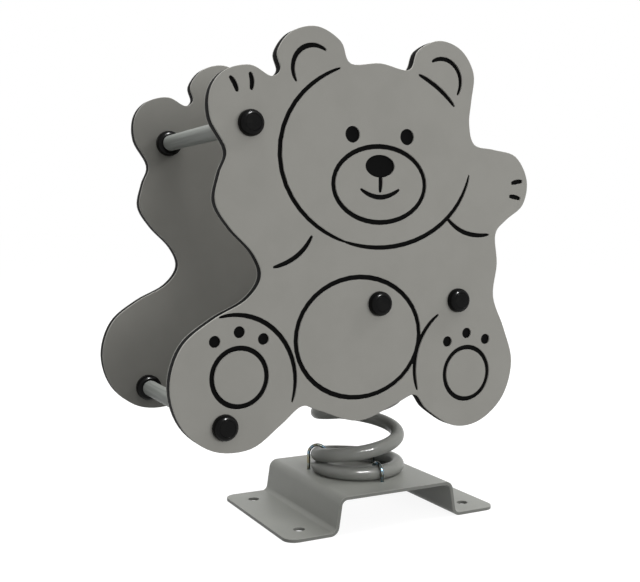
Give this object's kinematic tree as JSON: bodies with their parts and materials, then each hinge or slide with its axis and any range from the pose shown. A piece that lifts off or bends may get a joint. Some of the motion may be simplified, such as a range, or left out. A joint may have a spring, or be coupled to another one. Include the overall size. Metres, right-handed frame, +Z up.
{
  "type": "spring rider",
  "caption": "Playground spring rider: bear-shaped side panels with a seat, handle bar and foot bar on a coil spring and a bent steel ground plate.",
  "frame": {"origin": "on the ground under the spring's axis, at the middle of the anchor holes", "axes": "+Z up along the spring, +X towards the rider's back along the panels, -Y towards the rider's left"},
  "size_m": [0.6459, 0.437, 0.8188],
  "materials": {
    "grey_paint": "satin grey paint",
    "spring_paint": "glossy grey paint",
    "panel_sheet": "fine-grained grey skin on a black core",
    "seat_sheet": "fine-grained grey",
    "bar_steel": "satin",
    "zinc_steel": "bright zinc plate",
    "black_plastic": "smooth black"
  },
  "bodies": {
    "base": {"ground_plate": "grey_paint", "base_clips": "zinc_steel", "base_clip_washers": "zinc_steel", "base_clip_nuts": "zinc_steel"},
    "spring": {"coil_spring": "spring_paint"},
    "rider": {"seat_carrier": "grey_paint", "top_clips": "zinc_steel", "top_clip_washers": "zinc_steel", "top_clip_nuts": "zinc_steel", "seat_board": "seat_sheet", "seat_bolts": "zinc_steel", "seat_bolt_washers": "zinc_steel", "seat_bolt_nuts": "zinc_steel", "left_panel": "panel_sheet", "right_panel": "panel_sheet", "handle_bar": "bar_steel", "foot_bar": "bar_steel", "handle_inserts": "zinc_steel", "foot_inserts": "zinc_steel", "bar_bolts": "zinc_steel", "carrier_bolts": "zinc_steel", "carrier_nuts": "zinc_steel", "cap_bases": "black_plastic", "handle_collar_left": "black_plastic", "handle_collar_right": "black_plastic", "foot_collar_left": "black_plastic", "foot_collar_right": "black_plastic", "handle_cap_left": "black_plastic", "handle_cap_right": "black_plastic", "foot_cap_left": "black_plastic", "foot_cap_right": "black_plastic", "seat_front_cap_left": "black_plastic", "seat_front_cap_right": "black_plastic", "seat_rear_cap_left": "black_plastic", "seat_rear_cap_right": "black_plastic"}
  },
  "joints": [
    {"name": "rock", "type": "hinge", "parent": "base", "child": "spring", "pos_m": [0, 0, 0.143], "axis": [0, 1, 0], "range_deg": [-18, 18], "stiffness_Nm_per_rad": 1750, "springref_deg": 0.54, "deforming": ["coil_spring"]},
    {"name": "sway", "type": "hinge", "parent": "spring", "child": "rider", "pos_m": [0, 0, 0.273], "axis": [1, 0, 0], "range_deg": [-12, 12], "stiffness_Nm_per_rad": 1750, "deforming": ["coil_spring"]}
  ]
}
